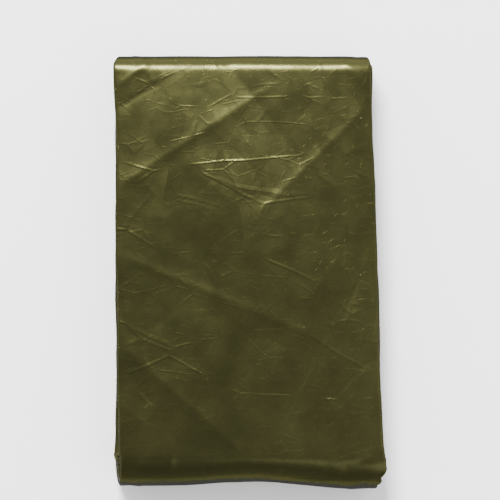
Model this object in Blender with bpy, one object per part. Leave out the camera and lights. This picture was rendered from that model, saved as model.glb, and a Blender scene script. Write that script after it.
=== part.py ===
"""Emergency foil blanket, folded to the flat packet that it is carried as.

The blanket is one sheet of metallised film. It is halved four times across its width, which
makes a strip of 16 plies, and the strip is halved four times along its length, which makes a
packet of 16 layers. The solid is that strip: a layer stands for 16 plies of film with the air
between them, and it turns from layer to layer round nested folds, as the film does.

Metres. X is across the strip, Y along it and Z up. The packet lies on its back, with the
origin under its middle.
"""

from collections import namedtuple
from math import cos, exp, pi, sin

import bmesh
import bpy
from mathutils import Vector

MM = 0.001

# The sheet, and how the strip is halved: whether its far half goes over or under each time.
SHEET_WIDTH = 1300 * MM
SHEET_LENGTH = 2100 * MM
HALVINGS = ("over", "under", "under", "over")
LAYERS = 2 ** len(HALVINGS)

# The packet is as wide as a sixteenth of the sheet, and longer than one by what the wide folds
# take from the narrow ones.
PACKET_LENGTH = SHEET_LENGTH / LAYERS + 4.5 * MM
STRIP_WIDTH = SHEET_WIDTH / LAYERS

# A layer with the air in it, and the distance from one layer to the next.
LAYER_THICKNESS = 1.0 * MM
LAYER_PITCH = 1.3 * MM

# How the packet swells towards its middle, as shares of the pitch.
LOFT_AT_RIM = 0.95
LOFT_OF_CROWN = 0.055
LOFT_OF_WAVES = 0.010
WAVE_LENGTH_X = 64 * MM
WAVE_LENGTH_Y = 91 * MM

# How far its underside is arched off the surface, across and along, so that it rests on its
# four corners.
ARCH = 0.03 * MM

# Where the packet is pressed flatter, in shares of the pitch.
Dent = namedtuple("Dent", "x y radius depth")
DENTS = (
    Dent(42 * MM, -62 * MM, 22 * MM, 0.018),
    Dent(-42 * MM, 66 * MM, 20 * MM, 0.015),
    Dent(-30 * MM, -14 * MM, 24 * MM, 0.012),
    Dent(27 * MM, 21 * MM, 26 * MM, 0.010),
)

# Nested folds that share a centre: its height in layers, the radius of the widest of them in
# layers, the y that this one reaches, and how far its ends are drawn in there at the left and at
# the right, which rounds the packet's corners in plan.
FoldGroup = namedtuple("FoldGroup", "middle widest reach_y left_inset right_inset")
BOTTOM_FOLDS = (FoldGroup(7.5, 7.5, -PACKET_LENGTH / 2, 0.7 * MM, 1.9 * MM),)
TOP_FOLDS = (
    FoldGroup(11.5, 3.5, PACKET_LENGTH / 2, 1.3 * MM, 0.8 * MM),
    FoldGroup(4.5, 0.5, PACKET_LENGTH / 2 - 1.6 * MM, 0.2 * MM, 0.2 * MM),
    FoldGroup(1.5, 1.5, PACKET_LENGTH / 2 - 0.9 * MM, 0.5 * MM, 0.4 * MM),
)
CUT_ENDS_Y = {6: PACKET_LENGTH / 2 - 2.1 * MM, 7: PACKET_LENGTH / 2 - 2.9 * MM}

# The end at -Y is drawn in at its middle and reaches less far at the left. Its folds are pointed,
# a little more so at the right, and blunt in the recess: how much they are drawn out along Y, as
# a share of their height, and how much less in the recess.
RECESS_DEPTH = 2.0 * MM
RECESS_X = 2 * MM
RECESS_WIDTH = 18 * MM
SHORTER_AT_LEFT = 1.2 * MM
POINTED_AT_LEFT = 1.08
POINTED_AT_RIGHT = 1.12
BLUNT_IN_RECESS = 0.2

# The strip's long edges along the packet. The last halving was made a little askew, so the
# eight upper layers slant to the right towards -Y, and the eight lower ones do not.
EdgeRow = namedtuple("EdgeRow", "y lower_left lower_right upper_left upper_right")
EDGES = (
    EdgeRow(-67 * MM, -42.8 * MM, 39.6 * MM, -40.4 * MM, 42.2 * MM),
    EdgeRow(-59 * MM, -42.6 * MM, 39.7 * MM, -40.7 * MM, 42.2 * MM),
    EdgeRow(-51 * MM, -42.1 * MM, 39.3 * MM, -41.0 * MM, 41.2 * MM),
    EdgeRow(-20 * MM, -42.0 * MM, 38.6 * MM, -41.4 * MM, 40.2 * MM),
    EdgeRow(20 * MM, -42.1 * MM, 37.7 * MM, -41.8 * MM, 39.0 * MM),
    EdgeRow(51 * MM, -42.1 * MM, 37.4 * MM, -42.0 * MM, 37.9 * MM),
    EdgeRow(67 * MM, -42.4 * MM, 37.5 * MM, -42.3 * MM, 37.6 * MM),
)
LOWER_LAYERS = range(LAYERS // 2)

# How closely a fold's ends are drawn in about its nose. A higher power is closer.
CORNER_ROUNDNESS = 5

# How each layer's edges stray from those lines: how far, and how fast from layer to layer and
# along the packet.
EDGE_STRAY = 0.32 * MM
STRAY_PER_LAYER = (2.4, 1.7)
STRAY_PER_METRE = (60, 75)

# The lines of the mesh: across the strip, along a flat layer, and round a fold.
COLUMNS_X = tuple(x * MM for x in (-37, -25, -13, -1, 11, 23, 34))
STATIONS_Y = tuple(y * MM for y in (-43, -21, 0, 21, 43))
WIDE_FOLD_STEPS = 8
TIGHT_FOLD_STEPS = 6
TIGHT_FOLD_RADIUS = 1.5

OLIVE = (0.040, 0.036, 0.012, 1.0)
OLIVE_METALLIC = 0.4
OLIVE_ROUGHNESS = 0.38


def clear_scene():
    for old in list(bpy.data.objects):
        bpy.data.objects.remove(old)


def fold_order():
    """The layer that each part of the strip lies on, from one cut end to the other."""
    piles = [[part] for part in range(LAYERS)]
    for way in HALVINGS:
        half = len(piles) // 2
        near = piles[:half]
        far = [pile[::-1] for pile in reversed(piles[half:])]
        lower, upper = (near, far) if way == "over" else (far, near)
        piles = [below + above for below, above in zip(lower, upper)]
    return [piles[0].index(part) for part in range(LAYERS)]


def inwards(place, size):
    """A share that grows from 0 at two opposite rims of the packet to 1 half way between them."""
    return max(0.0, 1 - (2 * place / size) ** 2)


def loft(x, y):
    """How far apart the layers lie at a place, as a share of their pitch."""
    crown = inwards(x, STRIP_WIDTH) * inwards(y, PACKET_LENGTH)
    share = LOFT_AT_RIM + LOFT_OF_CROWN * crown
    share += LOFT_OF_WAVES * sin(2 * pi * (x / WAVE_LENGTH_X + y / WAVE_LENGTH_Y))
    for dent in DENTS:
        away = ((x - dent.x) ** 2 + (y - dent.y) ** 2) / dent.radius**2
        share -= dent.depth * exp(-away)
    return share


def height(layer, x, y):
    """The height of the middle of a layer. The lowest layer lies all but flat on the surface."""
    arch = ARCH * (inwards(x, STRIP_WIDTH) + inwards(y, PACKET_LENGTH))
    return LAYER_THICKNESS / 2 + arch + layer * LAYER_PITCH * loft(x, y)


def edge_lines(layer, y):
    """The table's left and right edge for a layer, at y."""
    names = ("lower_left", "lower_right") if layer in LOWER_LAYERS else ("upper_left", "upper_right")
    y = min(max(y, EDGES[0].y), EDGES[-1].y)
    for low, high in zip(EDGES, EDGES[1:]):
        if y <= high.y:
            share = (y - low.y) / (high.y - low.y)
            return [getattr(low, name) * (1 - share) + getattr(high, name) * share for name in names]


def edges_at(layer, y):
    """The strip's left and right edge on a layer, at y."""
    lines = edge_lines(layer, y)
    return [
        line + EDGE_STRAY * sin(per_layer * layer + per_metre * y)
        for line, per_layer, per_metre in zip(lines, STRAY_PER_LAYER, STRAY_PER_METRE)
    ]


def flat_row(layer, y):
    """Points across the strip where it lies flat."""
    left, right = edges_at(layer, y)
    return [Vector((x, y, height(layer, x, y))) for x in (left, *COLUMNS_X, right)]


def fold_reach(group, x):
    """The y that a group of folds reaches at x, and how much they are drawn out along Y."""
    if group in TOP_FOLDS:
        return group.reach_y, 1.0
    share_from_left = 0.5 + x / STRIP_WIDTH
    recessed = exp(-(((x - RECESS_X) / RECESS_WIDTH) ** 2))
    reach_y = group.reach_y + RECESS_DEPTH * recessed + SHORTER_AT_LEFT * (1 - share_from_left)
    drawn_out = POINTED_AT_LEFT + (POINTED_AT_RIGHT - POINTED_AT_LEFT) * share_from_left
    return reach_y, drawn_out - BLUNT_IN_RECESS * recessed


def fold_point(group, x, layers_up, layers_out):
    """A point of a fold at x, from its place in the group's section, which is in layers."""
    side = 1 if group.reach_y > 0 else -1
    reach_y, drawn_out = fold_reach(group, x)
    spacing = LAYER_PITCH * loft(x, group.reach_y)
    centre_y = reach_y - side * (group.widest * spacing * drawn_out + LAYER_THICKNESS / 2)
    y = centre_y + side * layers_out * spacing * drawn_out
    z = height(group.middle, x, group.reach_y) + layers_up * spacing
    return Vector((x, y, z))


def fold_row(group, start, end, share):
    """Points across the strip, a share of the way round the fold from one layer to another."""
    radius = abs(end - start) / 2
    layers_up = (start - end) / 2 * cos(pi * share)
    layers_out = radius * sin(pi * share)
    edges = zip(edges_at(start, group.reach_y), edges_at(end, group.reach_y))
    left, right = (a * (1 - share) + b * share for a, b in edges)
    drawn_in = radius / group.widest * sin(pi * share) ** CORNER_ROUNDNESS
    across = (left + drawn_in * group.left_inset, *COLUMNS_X, right - drawn_in * group.right_inset)
    return [fold_point(group, x, layers_up, layers_out) for x in across]


def fold_rows(start, end, groups):
    """Lines of points round the fold that joins two layers."""
    group = next(group for group in groups if group.middle == (start + end) / 2)
    tight = abs(end - start) / 2 <= TIGHT_FOLD_RADIUS
    steps = TIGHT_FOLD_STEPS if tight else WIDE_FOLD_STEPS
    return [fold_row(group, start, end, step / steps) for step in range(steps + 1)]


def strip_rows():
    """Lines of points across the strip, from one cut end to the other."""
    order = fold_order()
    rows = [flat_row(order[0], CUT_ENDS_Y[order[0]])]
    for part, layer in enumerate(order):
        towards_top = part % 2 == 1
        stations = STATIONS_Y if towards_top else STATIONS_Y[::-1]
        rows += [flat_row(layer, y) for y in stations]
        if part + 1 < LAYERS:
            rows += fold_rows(layer, order[part + 1], TOP_FOLDS if towards_top else BOTTOM_FOLDS)
    rows.append(flat_row(order[-1], CUT_ENDS_Y[order[-1]]))
    return rows


def centred(rows):
    """The rows moved along X and Y, so that the middle of their box is over the origin."""
    points = [point for row in rows for point in row]
    middle = Vector(
        (
            (min(p.x for p in points) + max(p.x for p in points)) / 2,
            (min(p.y for p in points) + max(p.y for p in points)) / 2,
            0,
        )
    )
    return [[point - middle for point in row] for row in rows]


def split_face(bm, a, b, c, d):
    """Two triangles, split along the diagonal that rises to the right in plan on every layer.
    The layers' faces are then parallel, and the gap between them is even."""
    rising = d.co.y > a.co.y
    for corners in ((a, b, c), (a, c, d)) if rising else ((a, b, d), (b, c, d)):
        bm.faces.new(corners)


def strip_mesh(name, rows):
    """The middle surface of the strip, with faces between its lines of points."""
    bm = bmesh.new()
    lines = [[bm.verts.new(point) for point in row] for row in rows]
    for line, after in zip(lines, lines[1:]):
        for a, b, c, d in zip(line, line[1:], after[1:], after):
            split_face(bm, a, b, c, d)
    mesh = bpy.data.meshes.new(name)
    bm.to_mesh(mesh)
    bm.free()
    mesh.shade_smooth()
    return mesh


def olive_film():
    material = bpy.data.materials.new("olive_film")
    material.use_nodes = True
    shader = material.node_tree.nodes["Principled BSDF"]
    shader.inputs["Base Color"].default_value = OLIVE
    shader.inputs["Metallic"].default_value = OLIVE_METALLIC
    shader.inputs["Roughness"].default_value = OLIVE_ROUGHNESS
    return material


def foil_blanket():
    """The folded strip, one solid from cut end to cut end."""
    mesh = strip_mesh("foil_blanket", centred(strip_rows()))
    mesh.materials.append(olive_film())
    blanket = bpy.data.objects.new("foil_blanket", mesh)
    bpy.context.scene.collection.objects.link(blanket)
    layer = blanket.modifiers.new("layer", "SOLIDIFY")
    layer.thickness = LAYER_THICKNESS
    layer.offset = 0.0
    layer.use_even_offset = True
    return blanket


clear_scene()
foil_blanket()
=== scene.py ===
"""The looks of the folded emergency foil blanket.

The blanket is one sheet of metallised film, 1.3 m by 2.1 m, olive outside and silver inside.
Here all of it is one thin surface with its 256 plies. It is halved four times across its
width, which makes a strip of 16 plies, and the strip is halved four times along its length,
which makes 16 layers. The strip runs along the CAD solid's layers and round its folds.

Metres. X is across the strip, Y along it and Z up. The camera looks straight down.
"""

from collections import namedtuple
from math import cos, exp, pi, radians, sin, sqrt

import bpy
import numpy as np
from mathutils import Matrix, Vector, noise


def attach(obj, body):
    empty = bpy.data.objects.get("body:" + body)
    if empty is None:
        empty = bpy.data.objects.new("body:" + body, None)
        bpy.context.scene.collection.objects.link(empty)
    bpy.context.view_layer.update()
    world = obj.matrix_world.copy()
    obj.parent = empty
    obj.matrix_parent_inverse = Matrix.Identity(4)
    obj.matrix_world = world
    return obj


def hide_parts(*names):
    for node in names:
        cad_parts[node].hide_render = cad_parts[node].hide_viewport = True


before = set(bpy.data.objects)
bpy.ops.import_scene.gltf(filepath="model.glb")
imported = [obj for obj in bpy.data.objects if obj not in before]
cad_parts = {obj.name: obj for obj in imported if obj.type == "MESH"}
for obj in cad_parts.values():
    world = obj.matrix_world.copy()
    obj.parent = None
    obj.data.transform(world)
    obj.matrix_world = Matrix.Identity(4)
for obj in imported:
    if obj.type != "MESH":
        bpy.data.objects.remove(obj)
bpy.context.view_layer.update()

MM = 0.001
NODE = "foil_blanket"
SEED = 2027

# ---------------------------------------------------------------- the packet, as in the CAD

# The sheet, and how the strip is halved: whether its far half goes over or under each time.
SHEET_WIDTH = 1300 * MM
SHEET_LENGTH = 2100 * MM
HALVINGS = ("over", "under", "under", "over")
LAYERS = 2 ** len(HALVINGS)
PACKET_LENGTH = SHEET_LENGTH / LAYERS + 4.5 * MM
STRIP_WIDTH = SHEET_WIDTH / LAYERS
LAYER_THICKNESS = 1.0 * MM
LAYER_PITCH = 1.3 * MM

# How the packet swells towards its middle, as shares of the pitch.
LOFT_AT_RIM = 0.95
LOFT_OF_CROWN = 0.055
LOFT_OF_WAVES = 0.010
WAVE_LENGTH_X = 64 * MM
WAVE_LENGTH_Y = 91 * MM

# How far its underside is arched off the surface, across and along.
ARCH = 0.03 * MM

# Where the packet is pressed flatter, in shares of the pitch.
Dent = namedtuple("Dent", "x y radius depth")
DENTS = (
    Dent(42 * MM, -62 * MM, 22 * MM, 0.018),
    Dent(-42 * MM, 66 * MM, 20 * MM, 0.015),
    Dent(-30 * MM, -14 * MM, 24 * MM, 0.012),
    Dent(27 * MM, 21 * MM, 26 * MM, 0.010),
)

# Nested folds that share a centre: its height in layers, the radius of the widest of them in
# layers, the y that this one reaches, and how far its ends are drawn in there at the left and at
# the right.
FoldGroup = namedtuple("FoldGroup", "middle widest reach_y left_inset right_inset")
BOTTOM_FOLDS = (FoldGroup(7.5, 7.5, -PACKET_LENGTH / 2, 0.7 * MM, 1.9 * MM),)
TOP_FOLDS = (
    FoldGroup(11.5, 3.5, PACKET_LENGTH / 2, 1.3 * MM, 0.8 * MM),
    FoldGroup(4.5, 0.5, PACKET_LENGTH / 2 - 1.6 * MM, 0.2 * MM, 0.2 * MM),
    FoldGroup(1.5, 1.5, PACKET_LENGTH / 2 - 0.9 * MM, 0.5 * MM, 0.4 * MM),
)
CUT_ENDS_Y = {6: PACKET_LENGTH / 2 - 2.1 * MM, 7: PACKET_LENGTH / 2 - 2.9 * MM}

# The end at -Y is drawn in at its middle and reaches less far at the left. Its folds are pointed,
# and blunt in the recess.
RECESS_DEPTH = 2.0 * MM
RECESS_X = 2 * MM
RECESS_WIDTH = 18 * MM
SHORTER_AT_LEFT = 1.2 * MM
POINTED_AT_LEFT = 1.08
POINTED_AT_RIGHT = 1.12
BLUNT_IN_RECESS = 0.2

# The strip's long edges along the packet, of the eight lower layers and of the eight upper ones.
EdgeRow = namedtuple("EdgeRow", "y lower_left lower_right upper_left upper_right")
EDGES = (
    EdgeRow(-67 * MM, -42.8 * MM, 39.6 * MM, -40.4 * MM, 42.2 * MM),
    EdgeRow(-59 * MM, -42.6 * MM, 39.7 * MM, -40.7 * MM, 42.2 * MM),
    EdgeRow(-51 * MM, -42.1 * MM, 39.3 * MM, -41.0 * MM, 41.2 * MM),
    EdgeRow(-20 * MM, -42.0 * MM, 38.6 * MM, -41.4 * MM, 40.2 * MM),
    EdgeRow(20 * MM, -42.1 * MM, 37.7 * MM, -41.8 * MM, 39.0 * MM),
    EdgeRow(51 * MM, -42.1 * MM, 37.4 * MM, -42.0 * MM, 37.9 * MM),
    EdgeRow(67 * MM, -42.4 * MM, 37.5 * MM, -42.3 * MM, 37.6 * MM),
)
LOWER_LAYERS = range(LAYERS // 2)

# How closely a fold's ends are drawn in about its nose. A higher power is closer.
CORNER_ROUNDNESS = 5

# ---------------------------------------------------------------- the film's own sizes

FRONT = LAYERS - 1  # the layer that shows, and the ply that shows on it

# Half of a layer's 16 plies, from the lowest to the highest, the share of it that is left at the
# strip's long edges, where the folds of the plies are pressed flat, and the share of the width
# over which it tapers to that.
HALF_LAYER = 0.47 * MM
EDGE_SHARE = 0.76
TAPER_SHARE = 0.07

# On the front layer the hidden plies lie close together under the one that shows, which has
# room for its creases: up to what share of half a layer they lie, and the creases' most relief.
TOP_OF_HIDDEN_PLIES = 0.1
MOST_RELIEF = 0.30 * MM

# The nested folds of the plies at the strip's long edges: their middle and the radius of the
# widest in plies, how far inside the edge it lies, and how deep its round is. Each narrower
# fold of a nest lies a lag further in.
PlyNest = namedtuple("PlyNest", "middle widest inside depth")
LEFT_NESTS = (PlyNest(7.5, 7.5, 0 * MM, 0.25 * MM),)
RIGHT_NESTS = (
    PlyNest(11.5, 3.5, 0 * MM, 0.22 * MM),
    PlyNest(4.5, 0.5, 0.75 * MM, 0.12 * MM),
    PlyNest(1.5, 1.5, 0.45 * MM, 0.16 * MM),
)
NEST_LAG = 0.06 * MM

# The two plies that end at the sheet's long edges, and how far inside the strip's edge they end.
CUT_PLIES_INSIDE = {6: 0.15 * MM, 7: 0.60 * MM}

# How far apart the plies end at most where the strip ends.
FRAY = 0.8 * MM

# How the edges wander along the strip, sideways and up and down: the amplitudes of slow and of
# quick waves, and the shortest and longest of each.
SIDEWAYS = (0.24 * MM, 0.08 * MM)
UP_AND_DOWN = (0.16 * MM, 0.07 * MM)
SLOW_WAVES = (45 * MM, 80 * MM)
QUICK_WAVES = (15 * MM, 27 * MM)
WAVES_OF_A_KIND = 3

# How far in from its edges a layer follows them up and down, as a share of the width, and how
# far the front layer's edges droop.
EDGE_REACH_SHARE = 0.11
FRONT_DROOP = 0.16 * MM

# Over what length the hidden stretches pass into the one that shows, and over what share of the
# width the front's relief grows from nothing at its edges.
FADE_TO_FRONT = 6 * MM
RELIEF_EDGE_SHARE = 0.04

# The least that a normal is taken to point down by where film rests on the surface.
LEAST_DOWNWARDS = 0.01

# Where the right edge is nicked or juts out near the front's -Y corner, by the distance t along
# the strip from the front's middle. A nick with a negative depth juts out.
Nick = namedtuple("Nick", "t depth width")
NICKS = (
    Nick(-59.6 * MM, -0.5 * MM, 1.2 * MM),
    Nick(-62.3 * MM, 0.7 * MM, 0.8 * MM),
    Nick(-65.6 * MM, 0.8 * MM, 0.8 * MM),
)

# The surface's lines: the steps between them along the layers and round the folds, and where
# they lie across the plies.
COARSE_STEP = 4.4 * MM
UNDERSIDE_STEP = 3.0 * MM
FINE_STEP = 0.78 * MM
HIDDEN_FOLD_STEP = 0.85 * MM
LEAST_FOLD_STEPS = 6
COARSE_ACROSS = (TAPER_SHARE, 0.5, 1 - TAPER_SHARE)
FINE_LINES_ACROSS = 107

# The points round the widest fold of a nest of plies, in degrees from its middle, and the share
# of a ply's width that this fold takes up. A tight nest has only its middle.
BEAD_ANGLES = (-50, 0, 50)
TIGHT_BEAD_ANGLES = (0,)
TIGHT_NEST = 2
BEAD_PATH_SHARE = 0.01

# How much larger than the hidden parts those that show are on the map of the sheet, and the
# least step from column to column on it.
MAP_SCALE_OF_PLY = 28
MAP_SCALE_OF_FRONT = 70
MAP_SCALE_OF_UNDERSIDE = 12
LEAST_MAP_STEP = 0.002

# The creases of the front ply. X is across it and t along the strip, 0 at the front's middle,
# so that they run on round the folds. A crease with a positive depth is a ridge.
Crease = namedtuple("Crease", "x0 t0 x1 t1 width depth")
CREASES = (
    # Along and round the wide fold at -Y.
    Crease(-24.9 * MM, -52 * MM, -24.5 * MM, -64 * MM, 0.8 * MM, 0.12 * MM),
    Crease(-4 * MM, -68 * MM, 41 * MM, -61.3 * MM, 1.9 * MM, 0.34 * MM),
    Crease(29 * MM, -66.5 * MM, 40.5 * MM, -60.5 * MM, 0.9 * MM, 0.20 * MM),
    Crease(35 * MM, -64 * MM, 38.5 * MM, -72 * MM, 0.9 * MM, -0.26 * MM),
    Crease(31 * MM, -68 * MM, 33 * MM, -76 * MM, 1.1 * MM, 0.22 * MM),
    Crease(41 * MM, -55 * MM, 30 * MM, -59 * MM, 1.0 * MM, -0.18 * MM),
    Crease(-40.5 * MM, -61 * MM, -35 * MM, -69 * MM, 1.0 * MM, 0.20 * MM),
    Crease(-40 * MM, -68 * MM, -33 * MM, -74 * MM, 1.0 * MM, -0.22 * MM),
    # At the two corners at +Y.
    Crease(-42 * MM, 58 * MM, -33 * MM, 65 * MM, 0.9 * MM, 0.22 * MM),
    Crease(-41 * MM, 52 * MM, -29 * MM, 59 * MM, 1.0 * MM, -0.16 * MM),
    Crease(-36 * MM, 70 * MM, -30 * MM, 60 * MM, 0.9 * MM, 0.18 * MM),
    Crease(38 * MM, 57 * MM, 30 * MM, 65 * MM, 0.9 * MM, 0.22 * MM),
    Crease(38 * MM, 64 * MM, 32 * MM, 71 * MM, 0.9 * MM, -0.22 * MM),
    # Across the face.
    Crease(-40 * MM, 28 * MM, 6 * MM, 58 * MM, 1.7 * MM, 0.20 * MM),
    Crease(-10 * MM, 69 * MM, 20 * MM, 30 * MM, 1.5 * MM, -0.18 * MM),
    Crease(36 * MM, 52 * MM, 4 * MM, 20 * MM, 1.6 * MM, 0.18 * MM),
    Crease(-36 * MM, 4 * MM, 22 * MM, -20 * MM, 1.8 * MM, 0.20 * MM),
    Crease(38 * MM, 8 * MM, 12 * MM, -46 * MM, 1.6 * MM, -0.18 * MM),
    Crease(-38 * MM, -24 * MM, -4 * MM, -54 * MM, 1.6 * MM, 0.18 * MM),
)

# The crumples of the front ply: the width of the film's facets, how deep they are, their width as
# a share of their length, and where their pattern is taken from. Their mean is taken off.
Crumple = namedtuple("Crumple", "facet depth slenderness offset")
CRUMPLES = (
    Crumple(26 * MM, 0.22 * MM, 0.7, 3.1),
    Crumple(14 * MM, -0.10 * MM, 0.9, 11.7),
)
MEAN_CRUMPLE = 0.3

# The film's colours, where it is darkest and lightest, and the tint of its sheen at the rims.
DARK_OLIVE = (0.0385, 0.0385, 0.0127, 1)
LIGHT_OLIVE = (0.0455, 0.0447, 0.0154, 1)
RIM_TINT = (0.12, 0.12, 0.07, 1)
CLOUD_SIZE = 40 * MM
CLOUD_DETAIL = 4.0

# Its satin: the least and the greatest roughness, and the size and detail of their patches.
SATIN = (0.24, 0.31)
SATIN_PATCH = 9 * MM
SATIN_DETAIL = 3.0
METAL_SHARE = 0.95
COAT_SHARE = 0.08
COAT_ROUGHNESS = 0.22

# The film's flat facets, which are tilted against each other.
FineFacet = namedtuple("FineFacet", "size slope")
FINE_FACETS = (FineFacet(21 * MM, 0.022), FineFacet(8 * MM, 0.020), FineFacet(3 * MM, 0.012))

# Its fine creases: their turn from X, how much longer than wide the cells between them are, how
# wide these are, each crease's width and height, and what share of them shows.
FineCrease = namedtuple("FineCrease", "turn stretch cell width height shown")
FINE_CREASES = (
    FineCrease(0.25, 2.2, 17 * MM, 0.45 * MM, 0.060 * MM, 0.55),
    FineCrease(1.15, 1.8, 10 * MM, 0.34 * MM, 0.034 * MM, 0.50),
    FineCrease(-0.60, 1.6, 5 * MM, 0.28 * MM, 0.018 * MM, 0.45),
)

# How the straight borders of facets and creases are bent: over what size, and how far.
BEND_SIZE = 30 * MM
BEND = 3 * MM

# What share of the fine crumples is left on the wide fold at -Y, where that stretch ends, and
# the least share left in patches elsewhere.
SMOOTH_NOSE = 0.35
NOSE_ENDS_Y = (-58 * MM, -44 * MM)
LEAST_CRUMPLED = 0.35
CRUMPLED_PATCH = 24 * MM

# Soft noise lies mostly between these two values, about its middle.
NOISE_LOW, NOISE_MIDDLE, NOISE_HIGH = 0.3, 0.5, 0.7
NOISE_DETAIL = 2.0

# Fine creases show where soft noise is above a threshold, which is lower the more of them show:
# how much lower for all of them than for none, and how far below and above it they fade in.
NOISE_PER_SHARE = 0.25
FADE_BELOW, FADE_ABOVE = 0.03, 0.05

# The middle of a noise's or a cell's random colours.
MIDDLE_COLOUR = (0.5, 0.5, 0.5)

# The sockets of a Mix node that are used when it mixes colours.
MIX_FACTOR, MIX_A, MIX_B, MIX_RESULT = 0, 6, 7, 2

# The camera: how far it is from the middle of what it sees, how wide that is, and its lens.
VIEW_DISTANCE = 1.2
VIEW_WIDTH = 156.75 * MM
VIEW_MIDDLE = Vector((0.1 * MM, 7.2 * MM, 10 * MM))
SENSOR_WIDTH = 36  # in millimetres, as the lens is
CLIP_START = 0.01

# The soft square lights: where they are, how large and how strong. They face the origin.
SoftLight = namedtuple("SoftLight", "name place size power")
LIGHTS = (
    SoftLight("key", (-0.15, 0.62, 0.95), 0.35, 40),
    SoftLight("fill", (0.5, -0.5, 0.9), 0.8, 4.7),
)

# The world's light, from the horizon up and from the -Y side to the +Y side: how strong it is at
# a ramp's two ends, and the Z or Y of the direction where the ramp begins and ends.
Ramp = namedtuple("Ramp", "first last begins ends")
BY_HEIGHT = Ramp(2.34, 0.86, 0.2, 0.95)
BY_SIDE = Ramp(0.36, 1.5, -0.8, 0.8)
WHITE = (1, 1, 1, 1)

# The paper that the packet lies on: how far it reaches, how far it lies under the CAD's floor,
# and its shades where it is pale and where it is darker with painted shade, which the film's fold
# at -Y mirrors.
FLOOR_REACH = 3.0
FLOOR_BELOW = 0.2 * MM
PALE_PAPER, PALE_PAPER_Y = 0.93, -80 * MM
# Painted shade: the paper's dark end, which the film's fold at -Y mirrors as a dark floor.
PAINTED_SHADE_PAPER, PAINTED_SHADE_PAPER_Y = 0.38, -210 * MM
PAPER_ROUGHNESS = 0.9

random = np.random.default_rng(SEED)


# ---------------------------------------------------------------- the strip


def fold_order():
    """The layer that each part of the strip lies on, from one cut end to the other. The same
    order holds for the plies of the sheet's width."""
    piles = [[part] for part in range(LAYERS)]
    for way in HALVINGS:
        half = len(piles) // 2
        near = piles[:half]
        far = [pile[::-1] for pile in reversed(piles[half:])]
        lower, upper = (near, far) if way == "over" else (far, near)
        piles = [below + above for below, above in zip(lower, upper)]
    return [piles[0].index(part) for part in range(LAYERS)]


ORDER = fold_order()


def inwards(place, size):
    """A share that grows from 0 at two opposite rims of the packet to 1 half way between them."""
    return np.maximum(0, 1 - (2 * place / size) ** 2)


def loft(x, y):
    """How far apart the layers lie at a place, as a share of their pitch."""
    crown = inwards(x, STRIP_WIDTH) * inwards(y, PACKET_LENGTH)
    share = LOFT_AT_RIM + LOFT_OF_CROWN * crown
    share = share + LOFT_OF_WAVES * np.sin(2 * pi * (x / WAVE_LENGTH_X + y / WAVE_LENGTH_Y))
    for dent in DENTS:
        away = ((x - dent.x) ** 2 + (y - dent.y) ** 2) / dent.radius**2
        share = share - dent.depth * np.exp(-away)
    return share


def height(layer, x, y):
    """The height of the middle of a layer."""
    arch = ARCH * (inwards(x, STRIP_WIDTH) + inwards(y, PACKET_LENGTH))
    return LAYER_THICKNESS / 2 + arch + layer * LAYER_PITCH * loft(x, y)


def edge_lines(layer, y):
    """The table's left and right edge for a layer, at y."""
    kind = "lower" if layer in LOWER_LAYERS else "upper"
    ys = [row.y for row in EDGES]
    names = (f"{kind}_left", f"{kind}_right")
    return np.array([np.interp(y, ys, [getattr(row, name) for row in EDGES]) for name in names])


def fold_group(part):
    """The group of the fold after a part of the strip."""
    middle = (ORDER[part] + ORDER[part + 1]) / 2
    groups = TOP_FOLDS if part % 2 else BOTTOM_FOLDS
    return next(group for group in groups if group.middle == middle)


FoldFrame = namedtuple("FoldFrame", "side centre_y centre_z spacing drawn_out")


def fold_frame(group, x):
    """Where a group of folds has its centre, along x, and how it is spaced."""
    side = 1 if group.reach_y > 0 else -1
    reach_y = np.full_like(x, group.reach_y)
    drawn_out = np.ones_like(x)
    if side < 0:
        share_from_left = 0.5 + x / STRIP_WIDTH
        recessed = np.exp(-(((x - RECESS_X) / RECESS_WIDTH) ** 2))
        reach_y = reach_y + RECESS_DEPTH * recessed + SHORTER_AT_LEFT * (1 - share_from_left)
        drawn_out = POINTED_AT_LEFT + (POINTED_AT_RIGHT - POINTED_AT_LEFT) * share_from_left
        drawn_out = drawn_out - BLUNT_IN_RECESS * recessed
    spacing = LAYER_PITCH * loft(x, group.reach_y)
    centre_y = reach_y - side * (group.widest * spacing * drawn_out + LAYER_THICKNESS / 2)
    return FoldFrame(side, centre_y, height(group.middle, x, group.reach_y), spacing, drawn_out)


def joint_line(part, x):
    """Along x, the y where a part ends and the fold after it starts, and the y it reaches."""
    if part in (-1, LAYERS - 1):
        cut_y = CUT_ENDS_Y[ORDER[max(part, 0)]]
        return np.full_like(x, cut_y), cut_y
    group = fold_group(part)
    return fold_frame(group, x).centre_y, group.reach_y


# A line of the surface across the strip: the part that it is on, its share of the way along
# the part or round the fold after it, and whether it is a fine one.
Row = namedtuple("Row", "part share in_fold fine")

# Points of the strip's middle surface and its normals, which lie in the plane of Y and Z.
Course = namedtuple("Course", "y z normal_y normal_z")


def flat_course(row, x):
    start_y, start_reach = joint_line(row.part - 1, x)
    end_y, end_reach = joint_line(row.part, x)
    y = start_y * (1 - row.share) + end_y * row.share
    loft_y = start_reach * (1 - row.share) + end_reach * row.share
    layer = ORDER[row.part]
    up = 1 if layer % 2 else -1
    return Course(y, height(layer, x, loft_y), np.zeros_like(x), np.full_like(x, up))


def fold_course(row, x):
    start, end = ORDER[row.part], ORDER[row.part + 1]
    at = fold_frame(fold_group(row.part), x)
    radius = abs(end - start) / 2
    downwards = 1 if start > end else -1
    up = downwards * np.full_like(x, cos(pi * row.share))
    out = at.side * np.full_like(x, sin(pi * row.share))
    y = at.centre_y + radius * out * at.spacing * at.drawn_out
    z = at.centre_z + radius * up * at.spacing
    outwards = downwards if start % 2 else -downwards
    length = np.hypot(out / at.drawn_out, up)
    return Course(y, z, outwards * out / at.drawn_out / length, outwards * up / length)


def course(row, x):
    return fold_course(row, x) if row.in_fold else flat_course(row, x)


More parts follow.
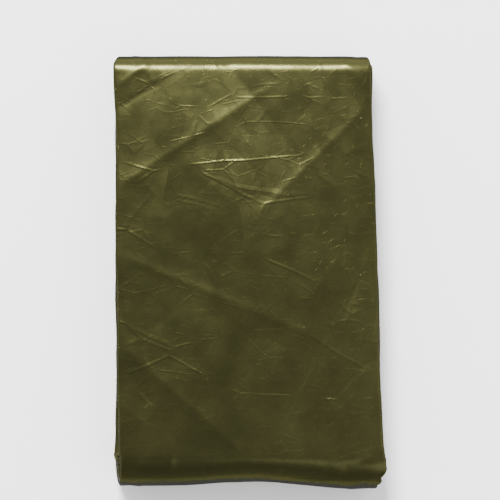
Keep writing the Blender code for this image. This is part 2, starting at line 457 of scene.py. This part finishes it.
def row_edges(row):
    """The strip's left and right edge on a line, before they wander."""
    layer = ORDER[row.part]
    if not row.in_fold:
        return edge_lines(layer, flat_course(row, np.zeros(1)).y[0])
    group = fold_group(row.part)
    start = edge_lines(layer, group.reach_y)
    end = edge_lines(ORDER[row.part + 1], group.reach_y)
    radius = abs(ORDER[row.part + 1] - layer) / 2
    drawn_in = radius / group.widest * sin(pi * row.share) ** CORNER_ROUNDNESS
    insets = drawn_in * np.array([group.left_inset, -group.right_inset])
    return start * (1 - row.share) + end * row.share + insets


def shows(part, in_fold):
    """Whether the outermost ply shows there from above or from an end of the packet."""
    layers = {ORDER[part]}
    if in_fold:
        layers.add(ORDER[part + 1])
    return FRONT in layers


def flat_rows(part):
    start, end = (joint_line(joint, np.zeros(1))[0][0] for joint in (part - 1, part))
    steps = {FRONT: FINE_STEP, 0: UNDERSIDE_STEP}
    count = round(abs(end - start) / steps.get(ORDER[part], COARSE_STEP))
    return [Row(part, share, False, shows(part, False)) for share in np.linspace(0, 1, count + 1)]


def fold_rows(part):
    fine = shows(part, True)
    radius = abs(ORDER[part + 1] - ORDER[part]) / 2 * LAYER_PITCH
    count = round(pi * radius / (FINE_STEP if fine else HIDDEN_FOLD_STEP))
    shares = np.linspace(0, 1, max(count, LEAST_FOLD_STEPS) + 1)[1:-1]
    return [Row(part, share, True, fine) for share in shares]


def strip_rows():
    """The lines of the surface, from one cut end of the strip to the other."""
    rows = []
    for part in range(LAYERS):
        rows += flat_rows(part)
        if part + 1 < LAYERS:
            rows += fold_rows(part)
    return rows


def distances(rows):
    """How far along the strip each line lies, from the middle of the front."""
    courses = [course(row, np.zeros(1)) for row in rows]
    y = np.array([line.y[0] for line in courses])
    z = np.array([line.z[0] for line in courses])
    along = np.concatenate([[0], np.cumsum(np.hypot(np.diff(y), np.diff(z)))])
    on_front = [n for n, row in enumerate(rows) if ORDER[row.part] == FRONT and not row.in_fold]
    middle = min(on_front, key=lambda n: abs(y[n]))
    return along - along[middle]


# ---------------------------------------------------------------- the plies across the strip

# A line of the surface along the strip: the ply that it is on, its share of the way across,
# how far outside the edge it lies, and its share of the way across the sheet.
Column = namedtuple("Column", "ply share out path")


def nest_of(ply, at_left):
    nests = LEFT_NESTS if at_left else RIGHT_NESTS
    return next((nest for nest in nests if abs(ply - nest.middle) <= nest.widest), None)


def ply_end(ply, at_left):
    """How far outside the edge a ply ends and its fold starts."""
    nest = nest_of(ply, at_left)
    if nest is None:
        return -CUT_PLIES_INSIDE[ply]
    return -(nest.inside + nest.depth + NEST_LAG * (nest.widest - abs(ply - nest.middle)))


def ply_columns(part, fine):
    ply = ORDER[part]
    inner = COARSE_ACROSS
    if fine and ply == FRONT:
        inner = np.linspace(0, 1, FINE_LINES_ACROSS + 2)[1:-1]
    rightwards = part % 2 == 1
    columns = []
    for share in (0, *inner, 1):
        out = ply_end(ply, share == 0) if share in (0, 1) else 0
        along = share if rightwards else 1 - share
        path = part + BEAD_PATH_SHARE / 2 + (1 - BEAD_PATH_SHARE) * along
        columns.append(Column(ply, share, out, path / LAYERS))
    return columns if rightwards else columns[::-1]


def bead_columns(part):
    """The round of the fold after a part, where it is the widest of its nest and so shows."""
    ply, after = ORDER[part], ORDER[part + 1]
    at_left = part % 2 == 0
    nest = nest_of(ply, at_left)
    if abs(after - ply) / 2 < nest.widest:
        return []
    columns = []
    for angle in TIGHT_BEAD_ANGLES if nest.widest <= TIGHT_NEST else BEAD_ANGLES:
        level = nest.middle + (after - ply) / 2 * sin(radians(angle))
        out = -nest.inside - nest.depth * (1 - cos(radians(angle)))
        path = part + 1 + BEAD_PATH_SHARE / 2 * sin(radians(angle))
        columns.append(Column(level, 0 if at_left else 1, out, path / LAYERS))
    return columns


def sheet_columns(fine):
    """The columns from one edge of the sheet to the other, as one array for each quantity."""
    columns = []
    for part in range(LAYERS):
        columns += ply_columns(part, fine)
        if part + 1 < LAYERS:
            columns += bead_columns(part)
    return Column(*(np.array(values, dtype=float) for values in zip(*columns)))


COLUMNS = {fine: sheet_columns(fine) for fine in (True, False)}


# ---------------------------------------------------------------- the film's unevenness


Wave = namedtuple("Wave", "amplitude length phase")


def wander(amplitudes):
    """A smooth random function of the distance along the strip."""
    waves = []
    for amplitude, lengths in zip(amplitudes, (SLOW_WAVES, QUICK_WAVES)):
        for _ in range(WAVES_OF_A_KIND):
            length = random.uniform(*lengths)
            phase = random.uniform(0, 2 * pi)
            waves.append(Wave(amplitude / sqrt(WAVES_OF_A_KIND), length, phase))
    return lambda along: sum(
        wave.amplitude * np.sin(2 * pi * along / wave.length + wave.phase) for wave in waves
    )


SIDEWAYS_AT = [wander(SIDEWAYS) for side in ("left", "right")]
UP_AT = [wander(UP_AND_DOWN) for side in ("left", "right")]
FRAY_OF_PLY = random.uniform(0, FRAY, LAYERS)


def stray(along):
    """How far the strip's left and right edge stray to the right of their lines."""
    nicked = sum(nick.depth * exp(-(((along - nick.t) / nick.width) ** 2)) for nick in NICKS)
    return np.array([SIDEWAYS_AT[0](along), SIDEWAYS_AT[1](along) - nicked])


def smooth_step(low, high, value):
    share = np.clip((value - low) / (high - low), 0, 1)
    return share * share * (3 - 2 * share)


def crease_relief(crease, x, t):
    """A soft-sided crease that fades out beyond its two ends."""
    run = np.array([crease.x1 - crease.x0, crease.t1 - crease.t0])
    share = ((x - crease.x0) * run[0] + (t - crease.t0) * run[1]) / (run @ run)
    share = np.clip(share, 0, 1)
    away = np.hypot(x - crease.x0 - share * run[0], t - crease.t0 - share * run[1])
    return crease.depth * np.exp(-away / crease.width)


def crumple_relief(crumple, x, t):
    """Low tents with straight sides and sharp borders, like the facets of crumpled film."""
    scale = 1 / crumple.facet
    found = np.empty_like(x)
    for n, place in enumerate(x):
        point = Vector((place * scale, t * scale * crumple.slenderness, crumple.offset))
        nearest, second = noise.voronoi(point)[0][:2]
        found[n] = second - nearest
    return crumple.depth * (found - MEAN_CRUMPLE)


def relief(x, t):
    """How far the front ply stands out of its place."""
    total = sum(crease_relief(crease, x, t) for crease in CREASES)
    total = total + sum(crumple_relief(crumple, x, t) for crumple in CRUMPLES)
    return MOST_RELIEF * np.tanh(total / MOST_RELIEF)


# ---------------------------------------------------------------- the surface


def front_share(rows, along):
    """How far each line belongs to the stretch that shows: 1 there, and 0 elsewhere."""
    lines = [n for n, row in enumerate(rows) if row.fine]
    first, last = along[lines[0]], along[lines[-1]]
    from_first = smooth_step(first, first + FADE_TO_FRONT, along)
    return from_first * smooth_step(-last, FADE_TO_FRONT - last, -along)


def ply_levels(ply, front):
    """Where the plies lie between the middle of a layer, 0, and its outer side, 1."""
    even = (ply - LAYERS / 2 + 0.5) / (LAYERS / 2 - 0.5)
    hidden = np.minimum(ply / (FRONT - 1), 1) * (1 + TOP_OF_HIDDEN_PLIES) - 1
    pressed = hidden + np.clip(ply - FRONT + 1, 0, 1) * (1 - TOP_OF_HIDDEN_PLIES)
    return even * (1 - front) + pressed * front


def resting(shift, thickness, line):
    """A shift along the normal, less where it would press the film into what it rests on."""
    room = line.z / np.maximum(-line.normal_z, LEAST_DOWNWARDS) - thickness
    return np.minimum(shift, room)


def row_points(row, along, front):
    """The points of one line, across all 16 plies of the strip."""
    columns = COLUMNS[row.fine]
    left, right = row_edges(row) + stray(along)
    outwards = np.where(columns.share < 0.5, -1, 1) * columns.out
    x = left + columns.share * (right - left) + outwards
    line = course(row, x)
    from_edge = np.minimum(columns.share, 1 - columns.share)
    half = HALF_LAYER * (EDGE_SHARE + (1 - EDGE_SHARE) * np.minimum(1, from_edge / TAPER_SHARE))
    near_edge = np.clip(1 - from_edge / EDGE_REACH_SHARE, 0, 1) ** 2
    sway = np.where(columns.share < 0.5, UP_AT[0](along), UP_AT[1](along))
    offset = resting(near_edge * (sway - front * FRONT_DROOP), half, line)
    offset += half * ply_levels(columns.ply, front)
    if front > 0:
        outermost = np.flatnonzero(columns.ply > FRONT - 1)
        inner = np.minimum(1, from_edge[outermost] / RELIEF_EDGE_SHARE)
        offset[outermost] += front * relief(x[outermost], along) * inner
    return np.column_stack([x, line.y + offset * line.normal_y, line.z + offset * line.normal_z])


def frayed(points, row):
    """A cut end, whose plies end a little apart."""
    inside = np.interp(COLUMNS[row.fine].ply, range(LAYERS), FRAY_OF_PLY)
    points[:, 1] -= inside
    return points


def sheet_points(rows, along):
    front = front_share(rows, along)
    points = [row_points(*values) for values in zip(rows, along, front)]
    points[0] = frayed(points[0], rows[0])
    points[-1] = frayed(points[-1], rows[-1])
    return points


BEYOND_THE_SHEET = 2  # a path past the sheet's far edge, where the path is 1


def band(before, after, first, second):
    """The faces between two lines, whose points are numbered from first and from second."""
    faces = []
    a = b = 0
    while a + 1 < len(before) or b + 1 < len(after):
        next_a = before[a + 1] if a + 1 < len(before) else BEYOND_THE_SHEET
        next_b = after[b + 1] if b + 1 < len(after) else BEYOND_THE_SHEET
        if next_a == next_b:
            faces.append((first + a, first + a + 1, second + b + 1, second + b))
        elif next_a < next_b:
            faces.append((first + a, first + a + 1, second + b))
        else:
            faces.append((first + a, second + b + 1, second + b))
        a += next_a <= next_b
        b += next_b <= next_a
    return faces


def sheet_faces(rows):
    faces = []
    first = 0
    for row, after in zip(rows, rows[1:]):
        before, beyond = COLUMNS[row.fine].path, COLUMNS[after.fine].path
        faces += band(before, beyond, first, first + len(before))
        first += len(before)
    return faces


def running_share(steps):
    """Where the stops between these steps lie, from 0 at the first to 1 at the last."""
    stops = np.concatenate([[0], np.cumsum(steps)])
    return stops / stops[-1]


def map_across():
    """The columns' places on the map of the sheet, by their paths."""
    columns = COLUMNS[False]
    on_front = columns.ply == FRONT
    scale = np.where(on_front[1:] & on_front[:-1], MAP_SCALE_OF_PLY, 1)
    return columns.path, running_share(np.diff(columns.path) * scale + LEAST_MAP_STEP)


def map_scale(row):
    if row.fine:
        return MAP_SCALE_OF_FRONT
    return MAP_SCALE_OF_UNDERSIDE if ORDER[row.part] == 0 else 1


def sheet_map(rows, along):
    """Each point's place on a map of the unfolded sheet, with the parts that show drawn large."""
    scale = np.array([map_scale(row) for row in rows])
    lengthwise = running_share(np.diff(along) * np.minimum(scale[1:], scale[:-1]))
    across = {fine: np.interp(COLUMNS[fine].path, *map_across()) for fine in (True, False)}
    lines = [(across[row.fine], place) for row, place in zip(rows, lengthwise)]
    return np.concatenate([np.column_stack([u, np.full_like(u, v)]) for u, v in lines])


def add_map(mesh, places):
    corners = np.empty(len(mesh.loops), dtype=np.int32)
    mesh.loops.foreach_get("vertex_index", corners)
    mesh.uv_layers.new(name="OFBake").uv.foreach_set("vector", places[corners].ravel())


def centred(points):
    """The points moved along X and Y, so that the middle of their box is over the origin."""
    middle = (points.min(axis=0) + points.max(axis=0)) / 2
    middle[2] = 0
    return points - middle


def folded_film():
    rows = strip_rows()
    along = distances(rows)
    points = centred(np.concatenate(sheet_points(rows, along)))
    mesh = bpy.data.meshes.new("folded_film")
    mesh.from_pydata(points, [], sheet_faces(rows))
    mesh.shade_smooth()
    add_map(mesh, sheet_map(rows, along))
    film = bpy.data.objects.new("folded_film", mesh)
    bpy.context.scene.collection.objects.link(film)
    return film


# ---------------------------------------------------------------- the material


def add_node(tree, kind, inputs, **settings):
    """A node with its inputs, each a value or the socket that is linked to it."""
    node = tree.nodes.new(kind)
    for name, value in settings.items():
        setattr(node, name, value)
    for name, value in inputs.items():
        if isinstance(value, bpy.types.NodeSocket):
            tree.links.new(value, node.inputs[name])
        else:
            node.inputs[name].default_value = value
    return node


def cloudy(tree, place, size, detail=NOISE_DETAIL):
    """Soft noise whose clouds are about a size across."""
    inputs = {"Vector": place, "Scale": 1 / size, "Detail": detail}
    return add_node(tree, "ShaderNodeTexNoise", inputs).outputs["Fac"]


def spread(tree, value, low, high, from_low=NOISE_LOW, from_high=NOISE_HIGH, kind="LINEAR"):
    """A value spread from one range, or soft noise's, over another, and held at its ends."""
    inputs = {
        "Value": value,
        "From Min": from_low,
        "From Max": from_high,
        "To Min": low,
        "To Max": high,
    }
    node = add_node(tree, "ShaderNodeMapRange", inputs, interpolation_type=kind)
    return node.outputs["Result"]


def arithmetic(tree, operation, first, second):
    return add_node(tree, "ShaderNodeMath", {0: first, 1: second}, operation=operation).outputs[0]


def vectors(tree, operation, first, second, output="Vector"):
    node = add_node(tree, "ShaderNodeVectorMath", {0: first, 1: second}, operation=operation)
    return node.outputs[output]


def facet_height(tree, place, facet):
    """Flat facets, each tilted its own way."""
    inputs = {"Vector": place, "Scale": 1 / facet.size}
    cells = add_node(tree, "ShaderNodeTexVoronoi", inputs).outputs
    from_centre = vectors(tree, "SUBTRACT", place, cells["Position"])
    tilt = vectors(tree, "SUBTRACT", cells["Color"], MIDDLE_COLOUR)
    rise = vectors(tree, "DOT_PRODUCT", from_centre, tilt, "Value")
    return arithmetic(tree, "MULTIPLY", rise, 2 * facet.slope)


def crease_height(tree, place, crease):
    """Thin, sharp creases with straight sides, along some of the borders of long cells."""
    stretch = (1 / crease.stretch, 1, 1)
    stretched = {"Vector": place, "Rotation": (0, 0, crease.turn), "Scale": stretch}
    lengthwise = add_node(tree, "ShaderNodeMapping", stretched).outputs["Vector"]
    inputs = {"Vector": lengthwise, "Scale": 1 / crease.cell}
    cells = add_node(tree, "ShaderNodeTexVoronoi", inputs, feature="DISTANCE_TO_EDGE").outputs
    height = spread(tree, cells["Distance"], crease.height, 0, 0, crease.width / crease.cell)
    hidden = NOISE_MIDDLE + NOISE_PER_SHARE * (0.5 - crease.shown)
    begins, ends = hidden - FADE_BELOW, hidden + FADE_ABOVE
    patches = spread(tree, cloudy(tree, place, crease.cell), 0, 1, begins, ends)
    return arithmetic(tree, "MULTIPLY", height, patches)


def bent(tree, place):
    """The place, shifted a little by soft noise, so that straight lines on it curve."""
    noise_inputs = {"Vector": place, "Scale": 1 / BEND_SIZE}
    shift = add_node(tree, "ShaderNodeTexNoise", noise_inputs).outputs["Color"]
    shift = vectors(tree, "SUBTRACT", shift, MIDDLE_COLOUR)
    return vectors(tree, "ADD", place, vectors(tree, "MULTIPLY", shift, (BEND, BEND, BEND)))


def film_bump(tree, place):
    """The film's fine crumples, which are stronger in some places than in others."""
    curved = bent(tree, place)
    heights = [facet_height(tree, curved, facet) for facet in FINE_FACETS]
    heights += [crease_height(tree, curved, crease) for crease in FINE_CREASES]
    total = heights[0]
    for height in heights[1:]:
        total = arithmetic(tree, "ADD", total, height)
    along = add_node(tree, "ShaderNodeSeparateXYZ", {"Vector": place}).outputs["Y"]
    off_the_nose = spread(tree, along, SMOOTH_NOSE, 1, *NOSE_ENDS_Y)
    patches = spread(tree, cloudy(tree, place, CRUMPLED_PATCH), LEAST_CRUMPLED, 1)
    crumpled = arithmetic(tree, "MULTIPLY", patches, off_the_nose)
    total = arithmetic(tree, "MULTIPLY", total, crumpled)
    inputs = {"Height": total, "Strength": 1.0, "Distance": 1.0}
    return add_node(tree, "ShaderNodeBump", inputs).outputs["Normal"]


def olive_film():
    """Film with a metal layer under olive lacquer, satin and finely crumpled."""
    material = bpy.data.materials.new("olive_film")
    material.use_nodes = True
    tree = material.node_tree
    shader = tree.nodes["Principled BSDF"]
    place = add_node(tree, "ShaderNodeTexCoord", {}).outputs["Object"]
    shade = spread(tree, cloudy(tree, place, CLOUD_SIZE, CLOUD_DETAIL), 0, 1)
    colours = {MIX_FACTOR: shade, MIX_A: DARK_OLIVE, MIX_B: LIGHT_OLIVE}
    colour = add_node(tree, "ShaderNodeMix", colours, data_type="RGBA")
    tree.links.new(colour.outputs[MIX_RESULT], shader.inputs["Base Color"])
    roughness = spread(tree, cloudy(tree, place, SATIN_PATCH, SATIN_DETAIL), *SATIN)
    tree.links.new(roughness, shader.inputs["Roughness"])
    tree.links.new(film_bump(tree, place), shader.inputs["Normal"])
    shader.inputs["Metallic"].default_value = METAL_SHARE
    shader.inputs["Specular Tint"].default_value = RIM_TINT
    shader.inputs["Coat Weight"].default_value = COAT_SHARE
    shader.inputs["Coat Roughness"].default_value = COAT_ROUGHNESS
    return material


# ---------------------------------------------------------------- the studio


def pale_floor():
    ways = ((-1, -1), (1, -1), (1, 1), (-1, 1))
    corners = [(FLOOR_REACH * x, FLOOR_REACH * y, 0) for x, y in ways]
    mesh = bpy.data.meshes.new("floor")
    mesh.from_pydata(corners, [], [range(len(corners))])
    floor = bpy.data.objects.new("floor", mesh)
    bpy.context.scene.collection.objects.link(floor)
    floor.location.z = -FLOOR_BELOW
    mesh.materials.append(paper_with_painted_shade())


def paper_with_painted_shade():
    """Matt paper that turns darker towards -Y, beyond the picture's lower edge: painted shade,
    which the film's fold at -Y mirrors as a dark floor.
    """
    material = bpy.data.materials.new("paper_with_painted_shade")
    material.use_nodes = True
    tree = material.node_tree
    shader = tree.nodes["Principled BSDF"]
    place = add_node(tree, "ShaderNodeTexCoord", {}).outputs["Object"]
    along = add_node(tree, "ShaderNodeSeparateXYZ", {"Vector": place}).outputs["Y"]
    # Painted shade: the paper's colour turns darker towards -Y, where the film's fold at -Y
    # mirrors it.
    shade = spread(tree, along, PAINTED_SHADE_PAPER, PALE_PAPER, PAINTED_SHADE_PAPER_Y, PALE_PAPER_Y, "SMOOTHSTEP")
    tree.links.new(shade, shader.inputs["Base Color"])
    shader.inputs["Roughness"].default_value = PAPER_ROUGHNESS
    return material


def camera_above():
    data = bpy.data.cameras.new("camera")
    camera = bpy.data.objects.new("camera", data)
    bpy.context.scene.collection.objects.link(camera)
    camera.location = VIEW_MIDDLE + Vector((0, 0, VIEW_DISTANCE))
    data.sensor_width = SENSOR_WIDTH
    data.lens = SENSOR_WIDTH * VIEW_DISTANCE / VIEW_WIDTH
    data.clip_start = CLIP_START
    bpy.context.scene.camera = camera


def add_light(soft):
    data = bpy.data.lights.new(soft.name, "AREA")
    data.size = soft.size
    data.energy = soft.power
    light = bpy.data.objects.new(soft.name, data)
    bpy.context.scene.collection.objects.link(light)
    light.location = soft.place
    light.rotation_euler = (-Vector(soft.place)).to_track_quat("-Z", "Y").to_euler()


def pale_world():
    world = bpy.data.worlds.new("studio")
    world.use_nodes = True
    tree = world.node_tree
    direction = add_node(tree, "ShaderNodeTexCoord", {}).outputs["Generated"]
    parts = add_node(tree, "ShaderNodeSeparateXYZ", {"Vector": direction}).outputs
    by_height = spread(tree, parts["Z"], *BY_HEIGHT)
    by_side = spread(tree, parts["Y"], *BY_SIDE)
    strength = arithmetic(tree, "MULTIPLY", by_height, by_side)
    background = tree.nodes["Background"]
    background.inputs["Color"].default_value = WHITE
    tree.links.new(strength, background.inputs["Strength"])
    bpy.context.scene.world = world


film = folded_film()
film.data.materials.append(olive_film())
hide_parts(NODE)
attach(film, "root")

pale_floor()
camera_above()
for soft in LIGHTS:
    add_light(soft)
pale_world()
